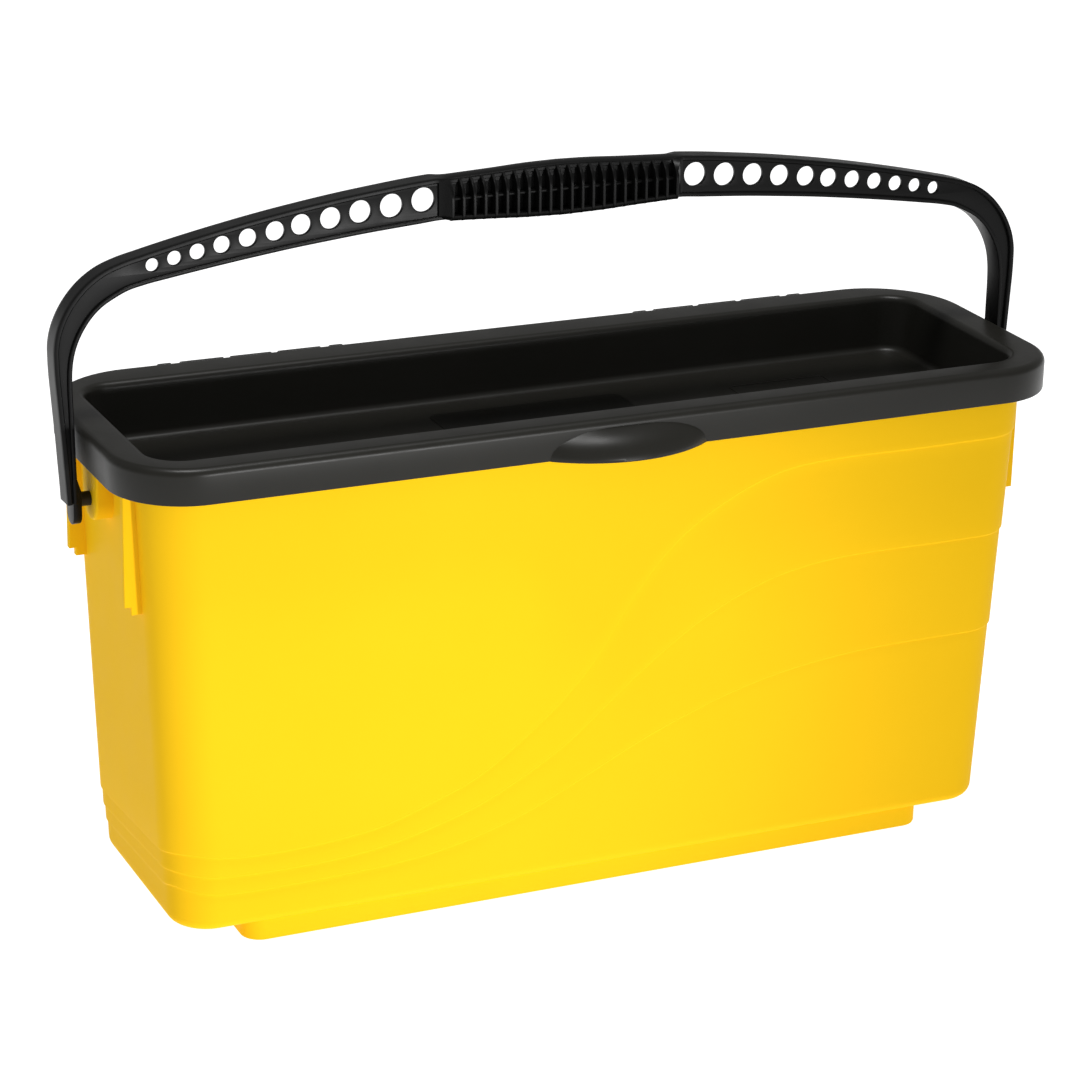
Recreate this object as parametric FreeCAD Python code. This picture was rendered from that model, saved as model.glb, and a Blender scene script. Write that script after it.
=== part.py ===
import FreeCAD, Part
import math
import os

os.makedirs("parts", exist_ok=True)
V = FreeCAD.Vector

# ---------------------------------------------------------------------------
# Microfiber charging bucket.  Millimetres, +Z up, X along the long side,
# -Y the front.  Origin: centre of the foot ring, on the floor.
# ---------------------------------------------------------------------------

# tub
FOOT_H = 13.0                # height of the foot ring
FOOT_HX, FOOT_HY, FOOT_R = 219.0, 70.0, 12.0
FOOT_T = 3.2
TUB_TOP = 288.8
TUB_BOT_HX, TUB_BOT_HY, TUB_BOT_R = 260.2, 74.8, 27.0
TUB_TOP_HX, TUB_TOP_HY, TUB_TOP_R = 274.6, 80.9, 29.0
WALL = 2.6
FLOOR_T = 3.2
BEAD_H, BEAD_OUT = 5.2, 2.4  # outward bead on the tub rim
TUB_EDGE_R = 8.0             # rounding between wall and bottom

# end wall details
RAIL_OUT = 280.7             # outer edge of the vertical rails
RAIL_STEP = 276.8
RAIL_Z_OUT, RAIL_Z_IN = 205.2, 200.4
RAIL_Y = ((-49.8, -44.8), (50.4, 55.4))
BOSS_FACE = 282.8
BOSS_R = 12.5
PIVOT_Y, PIVOT_Z = 3.0, 252.0
PIN_R = 4.10
PIN_HOLE_R = 4.16

# lid
LID_X0, LID_X1, LID_HY = -289.6, 289.9, 93.3
LID_RF, LID_RR = 42.0, 50.0  # plan corners, front and rear
SKIRT_Z, LID_TOP = 275.0, 295.6
SKIRT_T, TOP_T = 2.8, 3.0
LID_EDGE_R = 4.5
TRAY_X0, TRAY_X1, TRAY_Y0, TRAY_Y1, TRAY_R = -269.0, 266.0, -73.5, 67.5, 20.0
TRAY_FX0, TRAY_FX1, TRAY_FY0, TRAY_FY1, TRAY_FR = -265.4, 262.5, -70.0, 66.0, 17.5
TRAY_FLOOR = 261.0
TRAY_T = 2.8
TAB_HALF, TAB_OUT, TAB_TOP = 51.3, 16.4, 290.6

# hinges
HINGE_C = 153.0              # centre of each hinge, either side of the middle
AXIS_Y, AXIS_Z = 98.5, 287.0
KNUCKLE_R = 6.0
ROD_R = 2.0
ROD_HOLE_R = 2.06
LK_MID = 12.4                # lid's middle knuckle, half length
BK_IN, BK_OUT = 17.5, 43.0   # bracket's knuckles
LK_IN, LK_OUT = 49.5, 57.0   # lid's end knuckles
CUT_Y = 85.3
PAD_Y = 85.0
PLATE_T = 3.0
SCREW_Z = 247.5
SCREW_DX = (-46.0, -14.0, 14.0, 46.0)
SCREW_R, SCREW_HOLE_R = 1.85, 1.9

# handle
LEAN = 2.0                   # degrees that the upright handle leans back
H_DEPTH = 14.6               # the section is centred on the pivot
FLANGE_T = 2.6
WEB_Y0, WEB_Y1 = -5.4, -2.6  # the web lies near the front
LEG_END = -2.0
TONGUE_IN, TONGUE_OUT = 289.2, 294.1
TONGUE_TIP = -13.7
FINS, FIN_PITCH, FIN_T = 22, 6.68, 1.7
FIN_HALF = 13.0
HOLES = ((85, 151.7, 14), (104.1, 150, 13.65), (122.7, 148.3, 13), (140.4, 146.2, 12.4),
         (157.8, 144.2, 11.8), (173.1, 141.9, 11.1), (189.1, 139.6, 10.4), (204.2, 137.2, 9.8),
         (218.4, 134.6, 9.05), (231.7, 132.3, 8.2), (244.5, 129.7, 7.5))
# outline of the bow: distance along X from the middle, distance above the pivot
OUTER = ((0, 166.7), (20, 166.2), (40, 165.1), (59.9, 164.2), (76, 163.4),
         (92.1, 162.2), (110.1, 160.3), (133.1, 157.6), (155.2, 154.5), (175.1, 151.3),
         (205.1, 145.8), (232.1, 140.2), (250.1, 136.1), (262.4, 133.1), (272.6, 129.3),
         (281.6, 123.7), (288.4, 117.3), (293.8, 110.3), (297.9, 102.8), (300.5, 95.7),
         (301.9, 88.3), (302.1, 80.3), (301.8, 71.3), (301.1, 61.3), (300.4, 49.3),
         (299.4, 36.3), (298.6, 20.3), (297.9, 8.3), (297.4, -0.7))
INNER = ((0, 136.6), (25, 137.2), (45, 138.2), (60, 138.8), (75, 139.4),
         (88, 138.4), (100, 137.5), (121, 135.9), (140, 134), (162, 131.8),
         (180, 129.6), (202.9, 126.5), (219.9, 124.1), (234.9, 121.8), (250, 119.3),
         (259.1, 117.1), (267.1, 113.5), (273.9, 109.5), (279.6, 104.3), (284.4, 98),
         (288, 91.2), (290.7, 83.5), (291.9, 75.4), (292.3, 67.3), (292.1, 53.3),
         (291.9, 41.3), (291.8, 26.3), (291.6, 13.8))

# sieve
SIEVE_HX, SIEVE_HY, SIEVE_R = 254.8, 70.2, 23.0
SIEVE_T = 2.5
SIEVE_LEG = 8.0
SIEVE_RIM = 6.0
SIEVE_HOLE_R = 4.0


def rr_wire(x0, x1, y0, y1, rf, rr, z):
    """Rounded rectangle at height z; rf rounds the two front corners, rr the two rear ones."""
    f, g = rf * (1 - math.sqrt(0.5)), rr * (1 - math.sqrt(0.5))
    e = []
    e.append(Part.LineSegment(V(x0 + rf, y0, z), V(x1 - rf, y0, z)).toShape())
    e.append(Part.Arc(V(x1 - rf, y0, z), V(x1 - f, y0 + f, z), V(x1, y0 + rf, z)).toShape())
    e.append(Part.LineSegment(V(x1, y0 + rf, z), V(x1, y1 - rr, z)).toShape())
    e.append(Part.Arc(V(x1, y1 - rr, z), V(x1 - g, y1 - g, z), V(x1 - rr, y1, z)).toShape())
    e.append(Part.LineSegment(V(x1 - rr, y1, z), V(x0 + rr, y1, z)).toShape())
    e.append(Part.Arc(V(x0 + rr, y1, z), V(x0 + g, y1 - g, z), V(x0, y1 - rr, z)).toShape())
    e.append(Part.LineSegment(V(x0, y1 - rr, z), V(x0, y0 + rf, z)).toShape())
    e.append(Part.Arc(V(x0, y0 + rf, z), V(x0 + f, y0 + f, z), V(x0 + rf, y0, z)).toShape())
    return Part.Wire(e)


def rr_prism(x0, x1, y0, y1, rf, rr, z0, z1):
    return Part.Face(rr_wire(x0, x1, y0, y1, rf, rr, z0)).extrude(V(0, 0, z1 - z0))


def rr_loft(a, z0, b, z1):
    return Part.makeLoft([rr_wire(*a, z0), rr_wire(*b, z1)], True, True)


def box(x0, x1, y0, y1, z0, z1):
    return Part.makeBox(x1 - x0, y1 - y0, z1 - z0, V(x0, y0, z0))


def xcyl(r, x0, x1, y, z):
    return Part.makeCylinder(r, x1 - x0, V(x0, y, z), V(1, 0, 0))


def edges_at(shape, z, tol=0.01):
    out = []
    for e in shape.Edges:
        b = e.BoundBox
        if abs(b.ZMin - z) < tol and abs(b.ZMax - z) < tol:
            out.append(e)
    return out


def lerp(a, b, t):
    return a + (b - a) * t


def tub_half(z):
    """Outer half sizes and corner radius of the tub at height z."""
    t = (z - FOOT_H) / (TUB_TOP - FOOT_H)
    return (lerp(TUB_BOT_HX, TUB_TOP_HX, t), lerp(TUB_BOT_HY, TUB_TOP_HY, t),
            lerp(TUB_BOT_R, TUB_TOP_R, t))


def grown(base, d):
    """The rounded rectangle moved outwards by d."""
    return (base[0] - d, base[1] + d, base[2] - d, base[3] + d, base[4] + d, base[5] + d)


def sym(hx, hy, r):
    return (-hx, hx, -hy, hy, r, r)


def write(name, shape):
    if shape.ShapeType == "Compound" and len(shape.Solids) == 1:
        shape = shape.Solids[0]
    ok = shape.isValid()
    print("%-22s solids %2d valid %s volume %.1f cm3" %
          (name, len(shape.Solids), ok, shape.Volume / 1000.0))
    shape.exportStep("parts/%s.step" % name)


# ---------------------------------------------------------------------------
# tub
# ---------------------------------------------------------------------------
outer = rr_loft(sym(*tub_half(FOOT_H)), FOOT_H, sym(*tub_half(TUB_TOP)), TUB_TOP)
outer = outer.makeFillet(TUB_EDGE_R, edges_at(outer, FOOT_H))
zi = FOOT_H + FLOOR_T
ib, it = tub_half(zi), tub_half(TUB_TOP + 1)
inner = rr_loft(sym(ib[0] - WALL, ib[1] - WALL, ib[2] - WALL), zi,
                sym(it[0] - WALL, it[1] - WALL, it[2] - WALL), TUB_TOP + 1)
inner = inner.makeFillet(6.0, edges_at(inner, zi))

adds = [rr_prism(*sym(TUB_TOP_HX + BEAD_OUT, TUB_TOP_HY + BEAD_OUT, TUB_TOP_R + BEAD_OUT),
                 TUB_TOP - BEAD_H, TUB_TOP)]
foot = rr_prism(*sym(FOOT_HX, FOOT_HY, FOOT_R), 0, FOOT_H + 1.5)
foot = foot.cut(rr_prism(*sym(FOOT_HX - FOOT_T, FOOT_HY - FOOT_T, FOOT_R - FOOT_T),
                         -1, FOOT_H + 2))
adds.append(foot)
for x in (-110.0, 0.0, 110.0):
    adds.append(box(x - 1.5, x + 1.5, -FOOT_HY + 1, FOOT_HY - 1, 0.0, FOOT_H + 1.5))
for s in (-1, 1):
    for ya, yb in RAIL_Y:
        xa, xb = sorted((s * 264.0, s * RAIL_STEP))
        adds.append(box(xa, xb, ya, yb, RAIL_Z_IN, TUB_TOP - 1))
        xa, xb = sorted((s * 264.0, s * RAIL_OUT))
        adds.append(box(xa, xb, ya, yb, RAIL_Z_OUT, TUB_TOP - BEAD_H + 2))
    xa, xb = sorted((s * 264.0, s * BOSS_FACE))
    boss = box(xa, xb, PIVOT_Y - BOSS_R, PIVOT_Y + BOSS_R, PIVOT_Z, TUB_TOP - BEAD_H + 2)
    boss = boss.fuse(xcyl(BOSS_R, xa, xb, PIVOT_Y, PIVOT_Z))
    adds.append(boss)
    xc = s * HINGE_C
    adds.append(box(xc - 52, xc + 52, 70, PAD_Y, 238, 270))
tub = outer.fuse(adds).removeSplitter()
cuts = [inner]
for s in (-1, 1):
    xa, xb = sorted((s * 255.0, s * (BOSS_FACE + 5)))
    cuts.append(xcyl(PIN_HOLE_R, xa, xb, PIVOT_Y, PIVOT_Z))
    for dx in SCREW_DX:
        cuts.append(Part.makeCylinder(SCREW_HOLE_R, 5.4, V(s * HINGE_C + dx, PAD_Y - 5.2, SCREW_Z),
                                      V(0, 1, 0)))
tub = tub.cut(cuts)
write("tub", tub)

# ---------------------------------------------------------------------------
# lid
# ---------------------------------------------------------------------------
LID = (LID_X0, LID_X1, -LID_HY, LID_HY, LID_RF, LID_RR)
TRAY = (TRAY_X0, TRAY_X1, TRAY_Y0, TRAY_Y1, TRAY_R, TRAY_R)
TRAY_F = (TRAY_FX0, TRAY_FX1, TRAY_FY0, TRAY_FY1, TRAY_FR, TRAY_FR)
rim = rr_prism(*LID, SKIRT_Z, LID_TOP)

# finger tab: circular in plan, domed, growing out of the skirt
TAB_SECT = ((SKIRT_Z, 1.0, 1.0), (279.0, 0.985, 0.93), (283.0, 0.93, 0.76),
            (286.5, 0.83, 0.52), (289.2, 0.64, 0.25), (TAB_TOP, 0.44, 0.04))


def tab_wire(z, kx, ky):
    h, o = TAB_HALF * kx, TAB_OUT * ky
    y = -LID_HY
    mid = V(0, y - o, z)
    a = Part.Arc(V(-h, y, z), mid, V(h, y, z)).toShape()
    b = Part.LineSegment(V(h, y, z), V(h, y + 2.0, z)).toShape()
    c = Part.LineSegment(V(h, y + 2.0, z), V(-h, y + 2.0, z)).toShape()
    d = Part.LineSegment(V(-h, y + 2.0, z), V(-h, y, z)).toShape()
    return Part.Wire([a, b, c, d])


tab = Part.makeLoft([tab_wire(*t) for t in TAB_SECT], True, False)
rim = rim.makeFillet(LID_EDGE_R, edges_at(rim, LID_TOP))
skirt_void = rr_prism(*grown(LID, -SKIRT_T), SKIRT_Z - 1, LID_TOP - TOP_T)
shell = rim.fuse(tab).cut(skirt_void)

zt = TRAY_FLOOR - TRAY_T
tray = rr_loft(grown(TRAY_F, TRAY_T), zt, grown(TRAY, TRAY_T), LID_TOP - 1.0)
tray = tray.makeFillet(5.0, edges_at(tray, zt))
shell = shell.fuse(tray)
cavity = rr_loft(TRAY_F, TRAY_FLOOR, TRAY, LID_TOP)
cavity = cavity.makeFillet(4.0, edges_at(cavity, TRAY_FLOOR))
top = rr_prism(*TRAY, LID_TOP, LID_TOP + 2)
shell = shell.cut([cavity, top])
inner_edges = []
for e in edges_at(shell, LID_TOP):
    b = e.BoundBox
    if b.XMax < TRAY_X1 + 0.5 and b.XMin > TRAY_X0 - 0.5 and b.YMax < TRAY_Y1 + 0.5 \
            and b.YMin > TRAY_Y0 - 0.5:
        inner_edges.append(e)
shell = shell.makeFillet(4.0, inner_edges)

for s in (-1, 1):
    xc = s * HINGE_C
    cutters = []
    for k in (-1, 1):
        xa, xb = sorted((xc + k * LK_MID, xc + k * LK_IN))
        cutters.append(box(xa, xb, CUT_Y, 100, SKIRT_Z - 1, LID_TOP - TOP_T))
    xa, xb = sorted((xc + s * (LK_IN - 0.3), xc + s * (BK_OUT + 0.4)))
    cutters.append(box(xa, xb, LID_HY - 1.6, 100, SKIRT_Z - 1, LID_TOP + 1))
    shell = shell.cut(cutters)
    knuckles = []
    for xa, xb in ((xc - LK_OUT, xc - LK_IN), (xc - LK_MID, xc + LK_MID),
                   (xc + LK_IN, xc + LK_OUT)):
        knuckles.append(xcyl(KNUCKLE_R, xa, xb, AXIS_Y, AXIS_Z))
        knuckles.append(box(xa, xb, 91.5, AXIS_Y, AXIS_Z - 5.2, AXIS_Z + KNUCKLE_R))
    shell = shell.fuse(knuckles)
    shell = shell.cut(xcyl(ROD_HOLE_R, xc - 60, xc + 60, AXIS_Y, AXIS_Z))
lid = shell.removeSplitter()
write("lid", lid)

# gasket under the lid rim
seal = rr_prism(*sym(276.8, 83.2, 31.2), TUB_TOP + 0.2, LID_TOP - TOP_T)
seal = seal.cut(rr_prism(*sym(272.6, 78.9, 27.0), TUB_TOP - 1, LID_TOP))
write("lid_seal", seal)

# ---------------------------------------------------------------------------
# hinge brackets, rods and screws
# ---------------------------------------------------------------------------
for name, s in (("left", -1), ("right", 1)):
    xc = s * HINGE_C
    plate = box(xc - 54, xc + 54, PAD_Y, PAD_Y + PLATE_T, 240, 271)
    plate = plate.makeFillet(4.0, [e for e in plate.Edges
                                   if abs(e.BoundBox.YLength - PLATE_T) < 0.01])
    parts = []
    for k in (-1, 1):
        xa, xb = sorted((xc + k * BK_IN, xc + k * BK_OUT))
        pts = [V(xa, PAD_Y + 0.8, 256), V(xa, PAD_Y + PLATE_T, 256), V(xa, 103.4, 283.5),
               V(xa, 94.3, 291.2), V(xa, PAD_Y + 0.8, 272.5)]
        arm = Part.Face(Part.makePolygon(pts + [pts[0]])).extrude(V(xb - xa, 0, 0))
        parts += [arm, xcyl(KNUCKLE_R, xa, xb, AXIS_Y, AXIS_Z)]
    bracket = plate.fuse(parts).removeSplitter()
    cuts = [xcyl(ROD_R + 0.01, xc - 60, xc + 60, AXIS_Y, AXIS_Z)]
    for dx in SCREW_DX:
        cuts.append(Part.makeCylinder(SCREW_HOLE_R, 6, V(xc + dx, PAD_Y - 1, SCREW_Z), V(0, 1, 0)))
    bracket = bracket.cut(cuts)
    write("hinge_bracket_" + name, bracket)

    rod = xcyl(ROD_R, xc - LK_OUT - 1.0, xc + LK_OUT + 1.0, AXIS_Y, AXIS_Z)
    rod = rod.makeFillet(0.5, rod.Edges[0:1] + rod.Edges[2:3])
    write("hinge_pin_" + name, rod)

    screws = []
    for dx in SCREW_DX:
        x = xc + dx
        shank = Part.makeCylinder(SCREW_R, 8.1, V(x, PAD_Y - 5.0, SCREW_Z), V(0, 1, 0))
        head = Part.makeCylinder(3.6, 2.2, V(x, PAD_Y + PLATE_T, SCREW_Z), V(0, 1, 0))
        head = head.makeFillet(1.0, [e for e in head.Edges
                                     if e.BoundBox.YMin > PAD_Y + PLATE_T + 2.1])
        for ang in (0, 90):
            slot = box(x - 2.2, x + 2.2, PAD_Y + PLATE_T + 1.2, PAD_Y + PLATE_T + 3,
                       SCREW_Z - 0.45, SCREW_Z + 0.45)
            slot.rotate(V(x, 0, SCREW_Z), V(0, 1, 0), ang + 45)
            head = head.cut(slot)
        screws.append(shank.fuse(head).removeSplitter())
    write("hinge_screws_" + name, Part.makeCompound(screws))

# ---------------------------------------------------------------------------
# handle, built upright in the XZ plane about the pivot axis, then leaned back
# ---------------------------------------------------------------------------


def curve(pts):
    full = [V(-x, 0, d) for x, d in reversed(pts[1:])] + [V(x, 0, d) for x, d in pts]
    c = Part.BSplineCurve()
    c.interpolate(full)
    return c


def at(pts, x):
    x = abs(x)
    for (x0, d0), (x1, d1) in zip(pts, pts[1:]):
        if x0 <= x <= x1:
            return lerp(d0, d1, (x - x0) / (x1 - x0))
    return pts[-1][1]


def bow_face(outer_pts, inner_pts, y):
    co, ci = curve(outer_pts), curve(inner_pts)
    eo, ei = co.toShape(), ci.toShape()
    ox, od = outer_pts[-1]
    ix, idd = inner_pts[-1]
    left = Part.makePolygon([V(-ox, 0, od), V(-ix, 0, idd)])
    right = Part.makePolygon([V(ix, 0, idd), V(ox, 0, od)])
    w = Part.Wire([eo] + right.Edges + [ei] + left.Edges)
    f = Part.Face(w)
    f.translate(V(0, y, 0))
    return f


def inset(pts, t, sign):
    """Outline moved by t across itself; sign -1 inwards for the outer, +1 for the inner."""
    out = []
    n = len(pts)
    for i, (x, d) in enumerate(pts):
        a = pts[max(i - 1, 0)]
        b = pts[min(i + 1, n - 1)]
        if i == 0:
            nx, nd = 0.0, 1.0
        else:
            tx, td = b[0] - a[0], b[1] - a[1]
            l = math.hypot(tx, td)
            nx, nd = -td / l, tx / l
        out.append((x + sign * t * nx, d + sign * t * nd))
    return tuple(out)


# legs end in a square cut just below the pivot
INNER_FULL = INNER + ((291.4, LEG_END),)
body = bow_face(OUTER, INNER_FULL, -H_DEPTH / 2).extrude(V(0, H_DEPTH, 0))
po = inset(OUTER, FLANGE_T, -1)
pi_ = inset(INNER_FULL, FLANGE_T, 1)
po = tuple(p for p in po if p[1] > 4.0) + ((OUTER[-1][0] - FLANGE_T, 3.0),)
pi_ = tuple(p for p in pi_ if p[1] > 4.0) + ((291.4 + FLANGE_T, 3.0),)
pockets = []
for y0, y1 in ((-H_DEPTH / 2 - 1, WEB_Y0), (WEB_Y1, H_DEPTH / 2 + 1)):
    pockets.append(bow_face(po, pi_, y0).extrude(V(0, y1 - y0, 0)))
body = body.cut(pockets)
body = body.cut([Part.makeCylinder(d / 2.0, 30, V(s * x, -15, h), V(0, 1, 0))
                 for x, h, d in HOLES for s in (-1, 1)])


def fin_wire(x, half, up=0.3, down=0.0):
    """Outline of the grip across its length at x: domed on top, rounded below."""
    top_d, bot_d = at(OUTER, x) + up, at(INNER, x) + down
    f, r = half, 3.0
    s = r * (1 - math.sqrt(0.5))
    rise = 13.0 - math.sqrt(13.0 ** 2 - (half - 0.01) ** 2) if half < 13.0 else 13.0
    e = [Part.LineSegment(V(x, -f + r, bot_d), V(x, f - r, bot_d)).toShape(),
         Part.Arc(V(x, f - r, bot_d), V(x, f - s, bot_d + s), V(x, f, bot_d + r)).toShape(),
         Part.LineSegment(V(x, f, bot_d + r), V(x, f, top_d - rise)).toShape(),
         Part.Arc(V(x, f, top_d - rise), V(x, 0, top_d), V(x, -f, top_d - rise)).toShape(),
         Part.LineSegment(V(x, -f, top_d - rise), V(x, -f, bot_d + r)).toShape(),
         Part.Arc(V(x, -f, bot_d + r), V(x, -f + s, bot_d + s), V(x, -f + r, bot_d)).toShape()]
    return Part.Wire(e)


adds = []
for i in range(FINS):
    x = (i - (FINS - 1) / 2.0) * FIN_PITCH
    fin = Part.Face(fin_wire(x, FIN_HALF)).extrude(V(FIN_T, 0, 0))
    fin.translate(V(-FIN_T / 2, 0, 0))
    adds.append(fin)
grip_end = (FINS - 1) / 2.0 * FIN_PITCH
# lip that joins the fins below, and the rib between them
n = 24
lower, upper = [], []
for i in range(n + 1):
    x = -grip_end + 2 * grip_end * i / n
    lower.append(V(x, -FIN_HALF + 1.2, at(INNER, x) + 0.4))
    upper.append(V(x, -FIN_HALF + 1.2, at(INNER, x) + 2.4))
lip = Part.Face(Part.makePolygon(lower + upper[::-1] + lower[:1]))
adds.append(lip.extrude(V(0, 2 * FIN_HALF - 2.4, 0)))
adds.append(box(-grip_end, grip_end, -9.0, 9.0, 150.4, 152.0))
for s in (-1, 1):
    # cheek that blends the last fin into the bow
    x = s * grip_end
    adds.append(Part.makeLoft([fin_wire(x, FIN_HALF), fin_wire(x + s * 3.0, 9.6, 0.2),
                               fin_wire(x + s * 6.8, 7.2, 0.0, 0.1)], True, False))
    # tongue that carries the pin, flared towards the tub below the lid's skirt
    hd = H_DEPTH / 2
    xa, xb = sorted((s * TONGUE_IN, s * TONGUE_OUT))
    tongue = box(xa, xb, -hd, hd, TONGUE_TIP + hd, 5.5)
    tongue = tongue.fuse(xcyl(hd, xa, xb, 0, TONGUE_TIP + hd))
    pts = [V(s * TONGUE_IN, -hd, 5.4), V(s * 291.6, -hd, 12.5), V(s * TONGUE_OUT, -hd, 12.5),
           V(s * TONGUE_OUT, -hd, 5.4)]
    flare = Part.Face(Part.makePolygon(pts + [pts[0]])).extrude(V(0, H_DEPTH, 0))
    adds += [tongue, flare]
handle = body.fuse(adds).removeSplitter()
handle = handle.cut([xcyl(PIN_HOLE_R, *sorted((s * 280.0, s * 292.9)), 0, 0) for s in (-1, 1)])
handle.translate(V(0, PIVOT_Y, PIVOT_Z))
handle.rotate(V(0, PIVOT_Y, PIVOT_Z), V(1, 0, 0), -LEAN)
write("handle", handle)

for name, s in (("left", -1), ("right", 1)):
    xa, xb = sorted((s * 268.4, s * 292.8))
    pin = xcyl(PIN_R, xa, xb, PIVOT_Y, PIVOT_Z)
    xa, xb = sorted((s * 266.9, s * 269.5))
    head = xcyl(5.6, xa, xb, PIVOT_Y, PIVOT_Z)
    write("pivot_pin_" + name, pin.fuse(head).removeSplitter())

# ---------------------------------------------------------------------------
# sieve: loose perforated false floor on short legs
# ---------------------------------------------------------------------------
z0 = FOOT_H + FLOOR_T + 0.05
z1 = z0 + SIEVE_LEG
sieve = rr_prism(*sym(SIEVE_HX, SIEVE_HY, SIEVE_R), z1, z1 + SIEVE_T + SIEVE_RIM)
sieve = sieve.cut(rr_prism(*sym(SIEVE_HX - 2.2, SIEVE_HY - 2.2, SIEVE_R - 2.2), z1 + SIEVE_T,
                           z1 + 20))
legs = []
for x in (-225.0, -75.0, 75.0, 225.0):
    for y in (-52.0, 52.0):
        legs.append(Part.makeCylinder(4.5, SIEVE_LEG + 0.5, V(x, y, z0)))
sieve = sieve.fuse(legs)
holes = []
nx, ny = 24, 6
for i in range(nx):
    for j in range(ny):
        x = (i - (nx - 1) / 2.0) * 20.0
        y = (j - (ny - 1) / 2.0) * 21.0
        if min(abs(abs(x) - 225), abs(abs(x) - 75)) < 9.5 and abs(abs(y) - 52) < 9.5:
            continue
        holes.append(Part.makeCylinder(SIEVE_HOLE_R, SIEVE_T + 2, V(x, y, z1 - 1)))
sieve = sieve.cut(holes)
write("sieve", sieve)
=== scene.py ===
import math

import bmesh
import bpy
import numpy as np
from mathutils import Matrix, Vector


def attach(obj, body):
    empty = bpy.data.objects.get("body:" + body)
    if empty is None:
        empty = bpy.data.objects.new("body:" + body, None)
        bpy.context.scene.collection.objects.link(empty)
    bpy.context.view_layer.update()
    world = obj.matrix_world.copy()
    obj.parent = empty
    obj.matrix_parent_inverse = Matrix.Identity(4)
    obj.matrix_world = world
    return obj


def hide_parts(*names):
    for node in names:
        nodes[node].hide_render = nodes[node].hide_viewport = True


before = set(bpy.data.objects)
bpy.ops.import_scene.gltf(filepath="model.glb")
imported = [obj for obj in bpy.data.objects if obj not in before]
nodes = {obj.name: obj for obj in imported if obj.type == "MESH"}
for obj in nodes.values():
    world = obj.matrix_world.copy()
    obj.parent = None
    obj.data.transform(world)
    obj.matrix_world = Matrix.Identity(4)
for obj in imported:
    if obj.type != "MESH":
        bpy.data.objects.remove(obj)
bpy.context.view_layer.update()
MM = 0.001

# ---------------------------------------------------------------------------
# camera: at the photograph's viewing angle
# ---------------------------------------------------------------------------
YAW, PITCH, ROLL = math.radians(24.66), math.radians(20.26), math.radians(1.25)
fwd = Vector((math.sin(YAW) * math.cos(PITCH), math.cos(YAW) * math.cos(PITCH), -math.sin(PITCH)))
right = Vector((math.cos(YAW), -math.sin(YAW), 0))
up = right.cross(fwd)
r2 = math.cos(ROLL) * right + math.sin(ROLL) * up
u2 = -math.sin(ROLL) * right + math.cos(ROLL) * up
cam_data = bpy.data.cameras.new("camera")
cam_data.sensor_width = 36.0
cam_data.sensor_fit = "HORIZONTAL"
cam_data.lens = 3594.0 / 1080.0 * 36.0
cam_data.clip_end = 50.0
cam = bpy.data.objects.new("camera", cam_data)
bpy.context.scene.collection.objects.link(cam)
m = Matrix.Identity(4)
for i in range(3):
    m[i][0], m[i][1], m[i][2] = r2[i], u2[i], -fwd[i]
m[0][3], m[1][3], m[2][3] = -0.8361, -1.7997, 0.9229
cam.matrix_world = m
bpy.context.scene.camera = cam
bpy.context.scene.view_settings.view_transform = "Standard"
bpy.context.scene.view_settings.look = "None"

# ---------------------------------------------------------------------------
# mesh helpers (all lengths in millimetres until to_object)
# ---------------------------------------------------------------------------


def to_object(name, verts, faces, mat, body, replaces=None, smooth=35.0):
    me = bpy.data.meshes.new(name)
    me.from_pydata([(x * MM, y * MM, z * MM) for x, y, z in verts], [], faces)
    me.validate()
    bm = bmesh.new()
    bm.from_mesh(me)
    bmesh.ops.recalc_face_normals(bm, faces=bm.faces)
    bm.to_mesh(me)
    bm.free()
    ob = bpy.data.objects.new(name, me)
    bpy.context.scene.collection.objects.link(ob)
    me.materials.append(mat)
    shade(ob, smooth)
    if body:
        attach(ob, body)
    if replaces:
        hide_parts(*replaces)
    return ob


def shade(ob, angle):
    me = ob.data
    me.polygons.foreach_set("use_smooth", [True] * len(me.polygons))
    bm = bmesh.new()
    bm.from_mesh(me)
    lim = math.radians(angle)
    for e in bm.edges:
        e.smooth = not (len(e.link_faces) == 2 and e.calc_face_angle(0.0) > lim)
    bm.to_mesh(me)
    bm.free()


class Mesh:
    """Collects closed islands."""

    def __init__(self):
        self.v, self.f = [], []

    def add(self, verts, faces):
        o = len(self.v)
        self.v += [tuple(p) for p in verts]
        self.f += [tuple(i + o for i in f) for f in faces]

    def tube(self, loops):
        """Closed solid from loops of equal length, capped at both ends."""
        n = len(loops[0])
        verts = [p for l in loops for p in l]
        faces = []
        for k in range(len(loops) - 1):
            a, b = k * n, (k + 1) * n
            for i in range(n):
                j = (i + 1) % n
                faces.append((a + i, a + j, b + j, b + i))
        faces.append(tuple(range(n)))
        faces.append(tuple(reversed(range((len(loops) - 1) * n, len(loops) * n))))
        self.add(verts, faces)

    def mesh_data(self, me, fn=lambda p: p):
        self.add([fn(tuple(v.co)) for v in me.vertices], [tuple(p.vertices) for p in me.polygons])


NX, NY, NC = 150, 44, 16


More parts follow.
